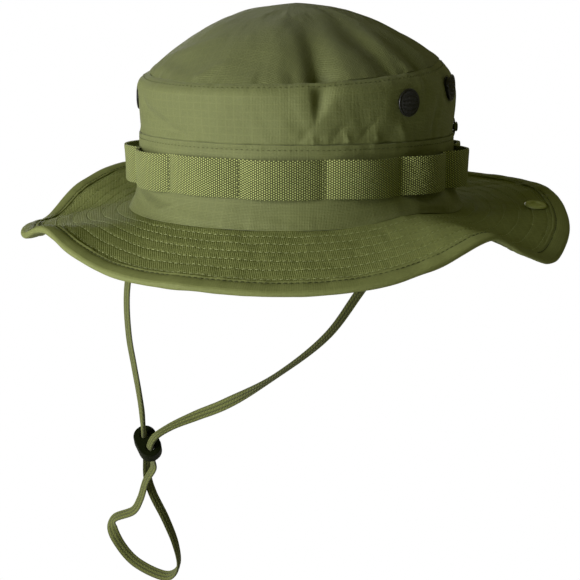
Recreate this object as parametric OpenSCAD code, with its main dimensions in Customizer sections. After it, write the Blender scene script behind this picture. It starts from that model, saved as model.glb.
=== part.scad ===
// Boonie hat: soft round crown with vents, webbing loops, a wavy brim whose sides snap up,
// and a flat chin cord with a two-hole toggle. Millimetres, +Z up, the front towards -Y.
// The origin is the centre of the head opening, at the height of the crown's lower edge.
// An azimuth h is counted from the front towards the wearer's left, which is +X.

/* [Crown] */
// Outside radius of the crown wall where it is widest
crown_r = 93; // [91:1:95]
// Mean height of the seam between the wall and the top panel
wall_h = 82; // [78:1:86]
// How far the front of that seam lies below its mean height, and the back above it
wall_rake = 5.5; // [0:0.5:7]
// Height of the top of the crown
crown_h = 118; // [112:1:124]
// How much longer than round the head opening is from front to back
egg = 0.02; // [0:0.01:0.03]
// Thickness of one crown panel
cloth_t = 1; // [0.8:0.1:1.2]
// Height of the sweatband inside the crown
sweat_h = 35; // [28:1:36]

/* [Webbing] */
// Number of loops that the stitches make in the webbing
loops = 13; // [12:1:14]
// Width of the webbing
web_w = 21; // [20:1:24]
// Thickness of the webbing
web_t = 1.5; // [1.2:0.1:1.8]
// Clear depth of a loop at the webbing's lower edge
loop_gap = 7; // [6:0.5:7.5]
// Azimuth of the first stitch
first_stitch = 7; // [0:1:25]

/* [Brim] */
// Radius of the brim's edge
brim_r = 161; // [150:1:165]
// Width of the binding tape on each face of the brim
bind_w = 10; // [8:1:12]
// Distance of a fold line from the crown's axis
fold_d = 101.5; // [101:0.5:104]
// Azimuth of each fold, on the left and mirrored on the right
fold_h = 118; // [112:1:120]
// Radius at which the brim snaps sit
snap_r = 142.5; // [138:0.5:144]

/* [Vents] */
// Outside diameter of a vent's flange
vent_d = 15; // [13:0.5:17]

/* [Chin cord] */
// Diameter of the round tube that stands for the flat braid
cord_d = 3; // [2.5:0.1:3.5]
// Diameter of the toggle's holes
toggle_hole_d = 5; // [4.6:0.1:5.4]
// Thickness of the toggle
toggle_t = 8; // [7:0.5:9]

/* [Hidden] */

OLIVE = [0.46, 0.48, 0.33];
OLIVE_DARK = [0.34, 0.36, 0.21];
GUNMETAL = [0.2, 0.2, 0.22];

step = 4;             // azimuth step of the cloth surfaces, degrees
lap_z = 37;           // lower edge of the upper wall at the back, behind the band
band_top = 42;        // upper edge of the lower band at the back
front_rise = 3.5;     // how much higher the band and the webbing sit at the front
band_r = 92.2;        // radius of the band behind the webbing
base_r = 99;          // radius of the band's lower edge
brim_in = 96.5;       // radius of the brim's inner edge, under the band
seam_r = 87;          // radius of the top panel's edge
web_z = 13.5;         // lower edge of the webbing at the back
sweat_r = 89.8;       // outside radius of the sweatband
fold_gap = 0.5;       // clearance on each side of a fold line
flap_half = 48;       // half the azimuth that a flap spans
stud_z = 46;          // height of the crown studs
VENTS = [[67, 66], [97, 71], [-67, 64], [-97, 68.5]];  // azimuth and height

// The brim's edge as [azimuth, height]: its waves, crests and dips
EDGE = [
    [-180, 3], [-150, 5], [-125, 8], [-107, 11], [-91, 1], [-77, -14], [-62, -12], [-44, -9],
    [-30, 0], [-20, -8], [-8, -16], [8, -18.5], [25, -20], [40, -17], [52, -9.5], [65, 1],
    [75, -10], [88, -20], [100, -14], [113, -7], [128, 2], [138, 4], [163, 3.5], [180, 3]
];

// The chin cord's route, from the left-hand anchor in a front view to the right-hand one
ROUTE = [
    [-81, -47, -10], [-82, -47, -20], [-86, -47, -34], [-89, -47, -54], [-88, -47, -78],
    [-84, -48, -96], [-78, -53, -109], [-73, -58, -119], [-72, -58.5, -127], [-73, -56, -133],
    [-76, -50, -139], [-80, -42, -147], [-82, -38.5, -155], [-82, -38, -167], [-78, -39, -176],
    [-68, -41, -190], [-60, -43, -204], [-58, -43, -216], [-61, -43, -222], [-67, -43, -225],
    [-88, -43, -220], [-100, -42, -211], [-106, -41, -202], [-105, -41, -196], [-89, -43, -187],
    [-84, -43.5, -179], [-80, -43, -167], [-75.5, -42, -159], [-74, -45, -153], [-70, -53, -145],
    [-67, -59, -139], [-63, -60, -133], [-55, -56, -127], [-41, -50, -120], [-24, -47, -112],
    [11, -47, -90], [42, -47, -64], [61, -47, -38], [75, -47, -18], [81, -47, -10]
];
TOGGLE = [-72, -53.5, -140];       // centre of the toggle
HOLE_AXIS = [1, -2, 2] / 3;        // along the toggle's two holes
LONG_AXIS = [-2, 1, 2] / 3;        // from one hole to the other

// ---- Shared functions ----

// Ratio of the oval's radius at azimuth h to the round one
function oval(h) = 1 + egg * cos(2 * h);

// Point at azimuth h, oval radius r and height z
function at(h, r, z) = [r * oval(h) * sin(h), -r * oval(h) * cos(h), z];

function smooth(t) = t * t * (3 - 2 * t);

// Height of the crown's lower edge, which lifts over the crest at the left front
function seam_z(h) = 1 + 5 * exp(-pow((h - 66) / 18, 2));

// How much higher the band and the webbing sit at azimuth h than at the back
function rise(h) = front_rise * (1 + cos(h)) / 2;

// Height of the seam round the top panel
function top_z(h) = wall_h + wall_rake * sin(h - 80);

// Slope of the edge table at entry i
function edge_slope(i) =
    let (n = len(EDGE) - 1, a = i == 0 || i == n ? n - 1 : i - 1, b = i == 0 || i == n ? 1 : i + 1)
    (EDGE[b][1] - EDGE[a][1]) / ((EDGE[b][0] - EDGE[a][0] + 360) % 360);

// Height of the brim's edge at azimuth h, a smooth curve through the edge table
function edge_z(h) =
    let (
        a = h >= 180 ? h - 360 : h < -180 ? h + 360 : h,
        i = max([for (j = [0 : len(EDGE) - 2]) if (EDGE[j][0] <= a) j]),
        w = EDGE[i + 1][0] - EDGE[i][0],
        t = (a - EDGE[i][0]) / w
    )
    EDGE[i][1] * (1 - smooth(t)) + EDGE[i + 1][1] * smooth(t)
    + w * (edge_slope(i) * t * pow(1 - t, 2) - edge_slope(i + 1) * t * t * (1 - t));

// Height of the brim's middle surface at azimuth h and oval radius r
function brim_z(h, r) =
    let (s = max(0, (r - base_r) / (brim_r - base_r)), base = seam_z(h) - 1)
    base + (edge_z(h) - base) * pow(s, 1.15);

// Unit normal of the brim's middle surface
function brim_normal(h, r) =
    let (
        along = at(h + 1, r, brim_z(h + 1, r)) - at(h - 1, r, brim_z(h - 1, r)),
        outward = at(h, r + 1, brim_z(h, r + 1)) - at(h, r - 1, brim_z(h, r - 1)),
        n = cross(outward, along)
    )
    n / norm(n);

// Oval radius at which azimuth h meets the fold line of a flap centred on azimuth c
function fold_r(h, c, shift) = (fold_d + shift) / (cos(h - c) * oval(h));

// Outer radius of the fixed brim at azimuth h: the brim's edge, or a fold line
function fixed_r(h) =
    let (
        d = min(abs(h - fold_h), abs(h + fold_h), abs(h + 360 - fold_h), abs(h - 360 + fold_h)),
        c = abs(h - fold_h) == d || abs(h + 360 - fold_h) == d ? fold_h : -fold_h
    )
    d < flap_half + step ? min(brim_r, fold_r(h, c, -fold_gap)) : brim_r;

// ---- Shared shapes ----

// Solid swept through a list of rings, each a closed loop of the same number of points.
// An open one is closed at its ends by cap, a list of convex faces on the ring's points.
// Each four-sided patch is cut from its outer corner, so layers that lie together are cut alike.
module sweep(rings, closed = true, cap = []) {
    m = len(rings[0]);
    n = len(rings);
    end_faces = cap == [] ? [[for (j = [0 : m - 1]) j]] : cap;
    sides = [
        for (i = [0 : closed ? n - 1 : n - 2], j = [0 : m - 1])
            let (
                k = (j + 1) % m,
                a = i * m + j,
                b = i * m + k,
                c = (i + 1) % n * m + j,
                d = (i + 1) % n * m + k
            )
                each from_axis(rings[i][k]) > from_axis(rings[i][j])
                    ? [[a, b, c], [b, d, c]]
                    : [[a, b, d], [a, d, c]]
    ];
    first_cap = [for (f = end_faces) [for (i = [len(f) - 1 : -1 : 0]) f[i]]];
    last_cap = [for (f = end_faces) [for (j = f) (n - 1) * m + j]];
    polyhedron(
        points = [for (ring = rings) each ring],
        faces = closed ? sides : concat(sides, first_cap, last_cap)
    );
}

// Distance of point p from the crown's axis
function from_axis(p) = norm([p[0], p[1]]);

// Turns a list of [radius, height] corners at azimuth h into a ring of points
function ring(h, corners) = [for (p = corners) at(h, p[0], p[1])];

// Corners of a skin of thickness t inside a list of [radius, height] points, low to high
function skin(outer, t) =
    concat(outer, [for (i = [len(outer) - 1 : -1 : 0]) [outer[i][0] - t, outer[i][1]]]);

// Places children on the crown at azimuth h and height z, +Z outward, from oval radius r
module on_crown(h, r, z) {
    translate(at(h, r, z)) rotate([90, 0, h]) children();
}

// Places children on the brim at azimuth h and radius r, +Z along the surface's normal
module on_brim(h, r) {
    n = brim_normal(h, r);
    translate(at(h, r, brim_z(h, r)))
        rotate([0, acos(n[2]), atan2(n[1], n[0])]) children();
}

// ---- Crown ----

// Outside of the upper wall at azimuth h, from the lap up to the top seam
function wall_line(h) =
    let (top = top_z(h))
    [
        [band_r - cloth_t - 0.2, lap_z + rise(h)], [band_r - 0.9, band_top + rise(h) + 2],
        [crown_r - 0.6, 54],
        [crown_r, 64], [crown_r, top - 5], [crown_r - 2, top - 2], [seam_r, top]
    ];

// Outside of the lower band at azimuth h
function band_line(h) =
    let (low = seam_z(h) + 0.2, flare = web_z + 1 - low)
    [
        [base_r, low], [base_r - 4, low + flare * 0.25], [band_r + 0.6, low + flare * 0.6],
        [band_r, low + flare], [band_r, band_top + rise(h)]
    ];

module crown_top() {
    turns = 360 / step;
    bands = 5;
    rows = [for (k = [1 : bands]) k / bands];
    outer = [for (i = [0 : turns - 1], f = rows) dome(i * step, f, 0)];
    inner = [for (i = [0 : turns - 1], f = rows) dome(i * step, f, -cloth_t)];
    m = len(outer);
    skins = [
        for (i = [0 : turns - 1], k = [0 : bands - 2])
            let (a = i * bands + k, b = ((i + 1) % turns) * bands + k)
                each [[a, b, a + 1], [b, b + 1, a + 1],
                      [m + a, m + a + 1, m + b], [m + b, m + a + 1, m + b + 1]]
    ];
    rims = [
        for (i = [0 : turns - 1])
            let (a = i * bands, b = ((i + 1) % turns) * bands, e = bands - 1)
                each [[2 * m, b, a], [2 * m + 1, m + a, m + b],
                      [a + e, b + e, m + a + e], [b + e, m + b + e, m + a + e]]
    ];
    color(OLIVE)
        polyhedron(
            points = concat(outer, inner, [[0, 0, crown_h], [0, 0, crown_h - cloth_t]]),
            faces = concat(skins, rims)
        );
}

// Point of the top panel at azimuth h and fraction f of its radius, offset by t in height
function dome(h, f, t) =
    let (low = top_z(h) + 0.1 + cloth_t)
    at(h, seam_r * f, crown_h - (crown_h - low) * (0.2 * f + 0.8 * pow(f, 2.5)) + t);

module crown_side() {
    color(OLIVE)
        difference() {
            sweep([for (h = [-180 : step : 179]) ring(h, skin(wall_line(h), cloth_t))]);
            for (v = VENTS)
                on_crown(v[0], crown_r, v[1])
                    cylinder(h = 12, d = vent_d - 2.4, center = true, $fn = 48);
            for (side = [-1, 1])
                on_crown(side * fold_h, crown_r, stud_z)
                    cylinder(h = 12, d = 3.6, center = true, $fn = 32);
        }
}

module crown_band() {
    color(OLIVE)
        sweep([for (h = [-180 : step : 179]) ring(h, skin(band_line(h), cloth_t))]);
}

module top_seam_tape() {
    color(OLIVE)
        sweep([
            for (h = [-180 : step : 179])
                let (z = top_z(h))
                    ring(h, [[84.5, z - 6], [84.8, z - 1.2], [83.6, z - 1.2], [83.3, z - 6]])
        ]);
}

module sweatband() {
    color(OLIVE_DARK)
        sweep([
            for (h = [-180 : step : 179])
                ring(h, skin([[sweat_r + 0.4, 1], [sweat_r, sweat_h]], 1.4))
        ]);
}

// ---- Webbing ----

pitch = 360 / loops;

// Fractions of a loop at which the webbing bends
LOOP_STEPS = [0, 0.04, 0.15, 0.27, 0.4, 0.6, 0.73, 0.85, 0.96];

// Depth of a loop at fraction t of its span, as a share of its greatest depth
function bulge(t) = t <= 0.04 || t >= 0.96 ? 0 : pow(sin(180 * (t - 0.04) / 0.92), 0.7);

// Section of the webbing at azimuth h and loop fraction t
function web_ring(h, t) =
    let (
        low = band_r + 0.3 + loop_gap * bulge(t),
        high = low + bulge(t),
        z0 = web_z + rise(h),
        z1 = z0 + web_w
    )
    ring(h, [[low + web_t, z0], [high + web_t, z1], [high, z1], [low, z0]]);

// Webbing from stitch number a to stitch number b
module webbing(a, b) {
    trim = 0.06;
    color(OLIVE)
        sweep(
            [
                for (k = [a : b - 1], t = LOOP_STEPS)
                    web_ring(first_stitch + pitch * (k + t) + (k == a && t == 0 ? trim : 0), t),
                web_ring(first_stitch + pitch * b - trim, 1)
            ],
            closed = false
        );
}

module webbing_bartacks() {
    color(OLIVE_DARK)
        for (k = [0 : loops - 1])
            let (h = first_stitch + pitch * k)
            on_crown(h, band_r + 0.45 + web_t, web_z + rise(h) + web_w / 2)
                translate([-0.9, 1 - web_w / 2, 0]) cube([1.8, web_w - 2, 0.7]);
}

// ---- Brim ----

// Layers of the brim as [lower offset, upper offset] from the middle surface
TOP_CLOTH = [0.35, 1.05];
STIFFENER = [-0.35, 0.25];
UNDER_CLOTH = [-1.05, -0.45];
bind_face = 0.6;      // thickness of the binding tape
bind_clear = 0.25;    // gap between the binding and the cloth that it covers
layer_margin = 1.2;   // how far the layers stop inside the binding's fold

// Section of one layer between radii a and b
function layer_ring(h, a, b, layer) =
    let (rows = [a, (a + b) / 2, b])
    concat(
        [for (r = rows) at(h, r, brim_z(h, r) + layer[0])],
        [for (k = [2 : -1 : 0]) at(h, rows[k], brim_z(h, rows[k]) + layer[1])]
    );

// The binding's section cut into convex faces: lower leg, edge and upper leg
BINDING_CAP = [[0, 1, 6, 7], [1, 2, 5, 6], [2, 3, 4, 5]];

// Section of the binding tape, a U round the brim's edge, whose legs reach in to radius a
function binding_ring(h, a) =
    let (
        up = TOP_CLOTH[1] + bind_clear,
        down = UNDER_CLOTH[0] - bind_clear,
        mid = brim_r - layer_margin + 0.2,
        corners = [
            [a, down - bind_face], [brim_r, down - bind_face], [brim_r, up + bind_face],
            [a, up + bind_face], [a, up], [mid, up], [mid, down], [a, down]
        ]
    )
    [for (c = corners) at(h, c[0], brim_z(h, c[0]) + c[1])];

module fixed_layer(layer) {
    sweep([
        for (h = [fold_h - 360 : step : fold_h - 1])
            let (edge = fixed_r(h), stop = edge == brim_r ? brim_r - layer_margin : edge)
                layer_ring(h, brim_in, stop, layer)
    ]);
}

module flap_layer(side, layer) {
    c = side * fold_h;
    color(OLIVE)
        difference() {
            sweep(
                [
                    for (d = [-flap_half : step : flap_half])
                        layer_ring(c + d, fold_r(c + d, c, fold_gap), brim_r - layer_margin, layer)
                ],
                closed = false
            );
            on_brim(c, snap_r) cylinder(h = 8, d = 3.6, center = true, $fn = 32);
        }
}

// Binding along the fixed stretches of the edge, front and back
module brim_binding() {
    stretch = fold_h - flap_half - step;
    color(OLIVE)
        for (span = [[-stretch, stretch], [fold_h + flap_half + step, 360 - fold_h - flap_half - step]])
            sweep(
                [for (h = [span[0] : step : span[1]]) binding_ring(h, brim_r - bind_w)],
                closed = false,
                cap = BINDING_CAP
            );
}

module flap_binding(side) {
    c = side * fold_h;
    color(OLIVE)
        sweep(
            [
                for (d = [-flap_half : step : flap_half])
                    binding_ring(c + d, max(brim_r - bind_w, fold_r(c + d, c, fold_gap)))
            ],
            closed = false,
            cap = BINDING_CAP
        );
}

// ---- Vents ----

wall_clear = 0.35;    // gap between a flat flange and the curved wall

module vent_eyelet(v) {
    color(GUNMETAL)
        on_crown(v[0], crown_r + wall_clear, v[1])
            rotate_extrude($fn = 64)
                polygon([
                    [5.3, -3.2], [5.9, -3.2], [5.9, 0], [vent_d / 2, 0], [vent_d / 2, 0.5],
                    [6.6, 1], [5.9, 1.3], [5.3, 1]
                ]);
}

module vent_screen(v) {
    color(GUNMETAL)
        on_crown(v[0], crown_r + wall_clear, v[1])
            translate([0, 0, -0.4]) cylinder(h = 0.5, r = 5.2, $fn = 64);
}

module vent_washer(v) {
    color(GUNMETAL)
        on_crown(v[0], crown_r - cloth_t - 1.5, v[1])
            difference() {
                cylinder(h = 0.6, d = vent_d - 0.6, $fn = 64);
                translate([0, 0, -1]) cylinder(h = 3, r = 6.1, $fn = 64);
            }
}

// ---- Snaps ----

// Stud on the outside of the crown wall, with its post through the cloth
module crown_stud(side) {
    color(GUNMETAL)
        on_crown(side * fold_h, band_r, stud_z)
            rotate_extrude($fn = 48)
                polygon([
                    [0, -3.2], [1.5, -3.2], [1.5, 0.4], [5.5, 0.4], [5.5, 0.9], [2.6, 1.3],
                    [2.6, 1.8], [3, 2.3], [2.6, 3.1], [0, 3.3]
                ]);
}

// Rounded cap of the stud, inside the crown
module crown_stud_cap(side) {
    color(GUNMETAL)
        on_crown(side * fold_h, band_r - cloth_t - 2.3, stud_z)
            rotate_extrude($fn = 48)
                polygon([[0, -0.9], [3.5, -0.6], [6, 0], [6, 0.6], [1.7, 0.6], [1.7, 0], [0, 0]]);
}

// Socket on the brim's top face, with its post through the brim
module brim_socket(side) {
    color(OLIVE)
        on_brim(side * fold_h, snap_r)
            rotate_extrude($fn = 48)
                polygon([
                    [0, -1.4], [1.5, -1.4], [1.5, 1.4], [6.5, 1.4], [6.5, 2], [5.8, 2.9],
                    [3.3, 3.1], [3.3, 2.2], [0, 2.2]
                ]);
}

// Cap of the socket, on the underside of the brim
module brim_socket_cap(side) {
    color(OLIVE)
        on_brim(side * fold_h, snap_r)
            rotate_extrude($fn = 48)
                polygon([
                    [1.6, -1.4], [6.5, -1.4], [6.5, -1.9], [3.5, -2.6], [0, -2.7], [0, -1.5], [1.6, -1.5]
                ]);
}

// ---- Chin cord ----

// Sewn tab inside the crown's lower edge that a cord end hangs from
module cord_anchor(side) {
    p = side < 0 ? ROUTE[0] : ROUTE[len(ROUTE) - 1];
    color(OLIVE)
        translate([p[0], p[1], -7.5])
            rotate([0, 0, atan2(p[1], p[0])]) translate([-1.2, -6, 0]) cube([2.4, 12, 10]);
}

// Point between p[1] and p[2] of a centripetal spline through four points
function spline(p, t) =
    let (
        d = [for (i = [0 : 2]) max(0.01, sqrt(norm(p[i + 1] - p[i])))],
        m1 = ((p[1] - p[0]) / d[0] - (p[2] - p[0]) / (d[0] + d[1]) + (p[2] - p[1]) / d[1]) * d[1],
        m2 = ((p[2] - p[1]) / d[1] - (p[3] - p[1]) / (d[1] + d[2]) + (p[3] - p[2]) / d[2]) * d[1]
    )
    p[1] * (1 - smooth(t)) + p[2] * smooth(t)
    + m1 * (t * pow(1 - t, 2)) - m2 * (t * t * (1 - t));

// The route with one point added in the middle of each stretch
function dense(path) =
    let (
        n = len(path),
        ends = concat([2 * path[0] - path[1]], path, [2 * path[n - 1] - path[n - 2]])
    )
    concat(
        [
            for (i = [0 : n - 2], t = [0, 0.5])
                spline([ends[i], ends[i + 1], ends[i + 2], ends[i + 3]], t)
        ],
        [path[n - 1]]
    );

module chin_cord() {
    path = dense(ROUTE);
    last = len(path) - 1;
    sides = 8;
    color(OLIVE)
        sweep(
            [
                for (i = [0 : last])
                    let (
                        along = path[min(i + 1, last)] - path[max(i - 1, 0)],
                        across = cross(along, [0, 1, 0]) / norm(cross(along, [0, 1, 0])),
                        third = cross(across, along) / norm(along)
                    )
                        [
                            for (k = [0 : sides - 1])
                                path[i] + cord_d / 2 * (across * cos(45 * k) + third * sin(45 * k))
                        ]
            ],
            closed = false
        );
}

// Flat two-hole toggle, whose holes lie along HOLE_AXIS
module cord_toggle() {
    side_axis = cross(HOLE_AXIS, LONG_AXIS);
    end_r = 6.8;
    hole_gap = 9;
    turn = [
        for (i = [0 : 2]) [LONG_AXIS[i], side_axis[i], HOLE_AXIS[i], TOGGLE[i]]
    ];
    color([0.1, 0.12, 0.06])
        multmatrix(concat(turn, [[0, 0, 0, 1]]))
            difference() {
                union() {
                    for (s = [-1, 1])
                        translate([s * 3.6, 0, 0])
                            cylinder(h = toggle_t, r = end_r, center = true, $fn = 64);
                    cube([7.2, 2 * end_r, toggle_t], center = true);
                }
                for (s = [-1, 1])
                    translate([s * hole_gap / 2, 0, 0])
                        cylinder(h = toggle_t + 2, d = toggle_hole_d, center = true, $fn = 48);
            }
}

// ---- Nodes ----

crown_top();
crown_side();
crown_band();
top_seam_tape();
sweatband();
webbing(-2, 1);  // webbing_front
webbing(1, 4);  // webbing_left
webbing(4, 8);  // webbing_back
webbing(8, 11);  // webbing_right
webbing_bartacks();
color(OLIVE) fixed_layer(TOP_CLOTH);  // brim_top_cloth
color(OLIVE_DARK) fixed_layer(STIFFENER);  // brim_stiffener
color(OLIVE) fixed_layer(UNDER_CLOTH);  // brim_under_cloth
brim_binding();
flap_layer(1, TOP_CLOTH);  // left_flap_top_cloth
flap_layer(1, STIFFENER);  // left_flap_stiffener
flap_layer(1, UNDER_CLOTH);  // left_flap_under_cloth
flap_binding(1);  // left_flap_binding
flap_layer(-1, TOP_CLOTH);  // right_flap_top_cloth
flap_layer(-1, STIFFENER);  // right_flap_stiffener
flap_layer(-1, UNDER_CLOTH);  // right_flap_under_cloth
flap_binding(-1);  // right_flap_binding
vent_eyelet(VENTS[0]);  // vent_eyelet_left_front
vent_eyelet(VENTS[1]);  // vent_eyelet_left_rear
vent_eyelet(VENTS[2]);  // vent_eyelet_right_front
vent_eyelet(VENTS[3]);  // vent_eyelet_right_rear
vent_screen(VENTS[0]);  // vent_screen_left_front
vent_screen(VENTS[1]);  // vent_screen_left_rear
vent_screen(VENTS[2]);  // vent_screen_right_front
vent_screen(VENTS[3]);  // vent_screen_right_rear
vent_washer(VENTS[0]);  // vent_washer_left_front
vent_washer(VENTS[1]);  // vent_washer_left_rear
vent_washer(VENTS[2]);  // vent_washer_right_front
vent_washer(VENTS[3]);  // vent_washer_right_rear
crown_stud(1);  // crown_stud_left
crown_stud(-1);  // crown_stud_right
crown_stud_cap(1);  // crown_stud_cap_left
crown_stud_cap(-1);  // crown_stud_cap_right
brim_socket(1);  // brim_socket_left
brim_socket(-1);  // brim_socket_right
brim_socket_cap(1);  // brim_socket_cap_left
brim_socket_cap(-1);  // brim_socket_cap_right
cord_anchor(1);  // cord_anchor_left
cord_anchor(-1);  // cord_anchor_right
chin_cord();
cord_toggle();
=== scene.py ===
"""Looks of the boonie hat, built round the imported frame.

Shapes are worked out in millimetres and become metres as each mesh is made. An azimuth h is
in degrees from the front (-Y) towards the wearer's left (+X), as in the CAD model.
"""

import math
from contextlib import contextmanager
from functools import partialmethod

import bmesh
import bpy
import numpy as np
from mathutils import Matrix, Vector


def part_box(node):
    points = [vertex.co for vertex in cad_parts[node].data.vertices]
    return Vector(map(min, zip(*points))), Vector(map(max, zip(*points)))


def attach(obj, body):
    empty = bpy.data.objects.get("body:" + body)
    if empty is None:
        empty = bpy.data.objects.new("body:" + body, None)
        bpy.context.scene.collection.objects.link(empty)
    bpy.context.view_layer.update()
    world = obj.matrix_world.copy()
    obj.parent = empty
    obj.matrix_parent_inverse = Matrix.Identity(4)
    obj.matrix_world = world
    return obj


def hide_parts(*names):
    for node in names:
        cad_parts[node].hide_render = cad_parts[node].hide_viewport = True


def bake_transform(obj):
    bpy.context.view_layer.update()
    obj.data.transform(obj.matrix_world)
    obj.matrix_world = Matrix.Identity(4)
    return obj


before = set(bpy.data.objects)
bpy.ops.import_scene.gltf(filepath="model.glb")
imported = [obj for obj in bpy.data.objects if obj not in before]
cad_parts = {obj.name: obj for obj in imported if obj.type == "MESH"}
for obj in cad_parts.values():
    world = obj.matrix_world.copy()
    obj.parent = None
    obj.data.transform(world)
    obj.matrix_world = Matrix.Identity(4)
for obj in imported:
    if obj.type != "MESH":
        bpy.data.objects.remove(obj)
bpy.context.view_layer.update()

MM = 0.001


# ---- Camera, light and floor ----

CAMERA_AZIMUTH = 26.0
CAMERA_ELEVATION = 8.5
CAMERA_DISTANCE = 0.90
FLOOR_HALF, FLOOR_Z = 6000.0, -300.0      # well below the cord's lowest loop


def direction(azimuth, elevation):
    """Unit vector from the hat towards that azimuth and elevation, in degrees."""
    a, e = math.radians(azimuth), math.radians(elevation)
    return Vector((math.sin(a) * math.cos(e), -math.cos(a) * math.cos(e), math.sin(e)))


def linked(name, data):
    """New object in the scene."""
    obj = bpy.data.objects.new(name, data)
    bpy.context.collection.objects.link(obj)
    return obj


def aimed(name, data, azimuth, elevation, distance):
    """New object in the scene that faces the hat from there."""
    obj = linked(name, data)
    towards = direction(azimuth, elevation)
    obj.location = towards * distance
    obj.rotation_euler = towards.to_track_quat("Z", "Y").to_euler()
    return obj


def make_camera():
    data = bpy.data.cameras.new("camera")
    data.lens = 95.0
    data.shift_x, data.shift_y = -0.012, -0.1466
    bpy.context.scene.camera = aimed("camera", data, CAMERA_AZIMUTH, CAMERA_ELEVATION, CAMERA_DISTANCE)


def area_light(name, azimuth, elevation, distance, size, power):
    data = bpy.data.lights.new(name, "AREA")
    data.size, data.energy = size, power
    aimed(name, data, azimuth, elevation, distance)


def white_to_camera(tree, lit, output, kind):
    """Shows plain white to the camera, while the piece lights the hat only as lit does. kind is
    the node that gives the white."""
    path = node(tree, "ShaderNodeLightPath")
    white = node(tree, kind, Strength=1.0, Color=(1, 1, 1, 1))
    mix = node(tree, "ShaderNodeMixShader")
    for source, target in zip((path.outputs["Is Camera Ray"], lit.outputs[0], white.outputs[0]), mix.inputs):
        tree.links.new(source, target)
    tree.links.new(mix.outputs[0], output.inputs["Surface"])


def make_world():
    world = bpy.data.worlds.new("studio")
    bpy.context.scene.world = world
    world.use_nodes = True
    nodes = world.node_tree.nodes
    soft = nodes["Background"]
    soft.inputs["Color"].default_value = (1.0, 0.98, 0.2, 1)
    soft.inputs["Strength"].default_value = 0.09
    white_to_camera(world.node_tree, soft, nodes["World Output"], "ShaderNodeBackground")


def make_floor():
    a, z = FLOOR_HALF, FLOOR_Z
    corners = np.array([(-a, -a, z), (a, -a, z), (a, a, z), (-a, a, z)])
    floor = mesh_object("floor", corners, [(0, 1, 2, 3)])
    material, tree, shader = shader_of("pale_floor", 1.0, Base_Color=(0.8, 0.8, 0.8, 1))
    white_to_camera(tree, shader, tree.nodes["Material Output"], "ShaderNodeEmission")
    floor.data.materials.append(material)


# ---- Curves read from the frame ----


def node_points(*nodes):
    """The corners of these CAD nodes, in millimetres."""
    meshes = [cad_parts[n].data for n in nodes]
    return np.array([v.co for m in meshes for v in m.vertices]) / MM


def box_centre(name):
    """Middle of a CAD node's box, in millimetres."""
    low, high = (np.array(corner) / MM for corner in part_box(name))
    return (low + high) / 2


def azimuth(p):
    return np.degrees(np.arctan2(p[..., 0], -p[..., 1]))


wide, long, _ = (b - a for a, b in zip(*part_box("crown_band")))
EGG = (long - wide) / (long + wide)


def oval(h):
    """Ratio of the oval's radius at azimuth h to the round one."""
    return 1 + EGG * np.cos(2 * np.radians(h))


def oval_radius(p):
    return np.hypot(p[..., 0], p[..., 1]) / oval(azimuth(p))


def height_curve(points):
    """Smooth closed curve of height over azimuth through rings of points 4 degrees apart."""
    step = 4
    h = np.round(azimuth(points)).astype(int) % 360
    start = int(h.min()) % step
    z = np.array([points[h == a, 2].mean() for a in range(start, 360, step)])

    def curve(h):
        x = (np.asarray(h, float) - start) / step
        i = np.floor(x).astype(int)
        f = x - i
        a, b, c, d = (z[(i + k) % len(z)] for k in (-1, 0, 1, 2))
        bend = (2 * a - 5 * b + 4 * c - d) * f**2 + (3 * b - a - 3 * c + d) * f**3
        return 0.5 * (2 * b + (c - a) * f + bend)

    return curve


def outermost(points):
    radius = oval_radius(points)
    return points[radius > radius.max() - 0.2]


SHOULDER_Z = 70.0      # the wall's upper part begins here
edge_points = outermost(node_points("brim_binding", "left_flap_binding", "right_flap_binding"))
band_points = outermost(node_points("crown_band"))
side_points = node_points("crown_side")
shoulder_points = side_points[side_points[:, 2] > SHOULDER_Z]
roof_r = oval_radius(shoulder_points).min() + 1.1

BRIM_R = float(oval_radius(edge_points).max())
BASE_R = float(oval_radius(band_points).max())
CROWN_R = float(oval_radius(side_points).max())
CROWN_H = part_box("crown_top")[1].z / MM
WEB_Z, WEB_W = 13.5, 21.0
FRONT_RISE = 3.5
SEAM_R = 87.0
BAND_R = 92.2
BRIM_IN = 96.5

edge_z = height_curve(edge_points)
band_z = height_curve(band_points)
top_z = height_curve(shoulder_points[oval_radius(shoulder_points) < roof_r])


def rise(h):
    """How much higher the band and the webbing sit at azimuth h than at the back."""
    return FRONT_RISE * (1 + np.cos(np.radians(h))) / 2


def band_top(h):
    return 42.0 + rise(h)


def bell(x, width):
    """Soft bump: 1 where x is 0, and almost 0 from two widths away."""
    return np.exp(-((x / width) ** 2))


def hump(h, centre, width):
    """Soft bump from 0 to 1 and back round the azimuth centre."""
    return bell((h - centre + 180) % 360 - 180, width)


def slump(h):
    """How far the crown's shoulder has sunk in at azimuth h: mostly at the left rear."""
    return hump(h, 112, 38)


def at(h, r, z):
    """Points at azimuth h, oval radius r and height z."""
    k, a = r * oval(h), np.radians(h)
    return np.stack(np.broadcast_arrays(k * np.sin(a), -k * np.cos(a), z), -1)


def brim_mid(h, r):
    """Height of the brim's middle surface."""
    share = np.clip((r - BASE_R) / (BRIM_R - BASE_R), 0, None)
    base = band_z(h) - 1.2
    return base + (edge_z(h) - base) * share**1.15


# ---- Shared shapes ----


def smooth(t):
    t = np.clip(t, 0, 1)
    return t * t * (3 - 2 * t)


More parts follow.
